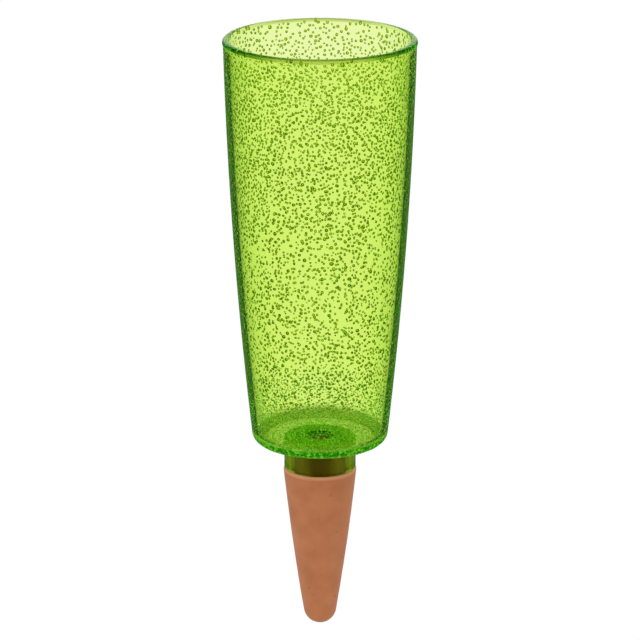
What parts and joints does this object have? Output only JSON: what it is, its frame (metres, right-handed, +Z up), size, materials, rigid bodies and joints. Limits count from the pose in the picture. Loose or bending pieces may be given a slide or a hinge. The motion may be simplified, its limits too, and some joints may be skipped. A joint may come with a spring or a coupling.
{
  "type": "self watering spike",
  "caption": "Open tapering cup of bubbled clear plastic on a hollow terracotta cone that stands in plant soil and lets water seep out slowly.",
  "frame": {"origin": "on the axis at the soil line, where the clay cone's shoulder meets the collar", "axes": "+Z up along the axis, from the tip of the cone to the cup's mouth; the object is round about Z"},
  "size_m": [0.074, 0.074, 0.2376],
  "materials": {
    "bubble_plastic": "transparent yellow-green plastic with small air bubbles in the wall",
    "clear_plastic": "transparent olive-green plastic without bubbles",
    "terracotta": "matte unglazed fired clay",
    "silicone": "soft green silicone"
  },
  "bodies": {
    "spike": {"clay_cone": "terracotta", "sealing_washer": "silicone"},
    "reservoir": {"reservoir_cup": "bubble_plastic", "neck_collar": "clear_plastic"}
  },
  "joints": [
    {"name": "reservoir_lift", "type": "slide", "parent": "spike", "child": "reservoir", "axis": [0, 0, 1], "range_m": [0, 0.04]}
  ]
}
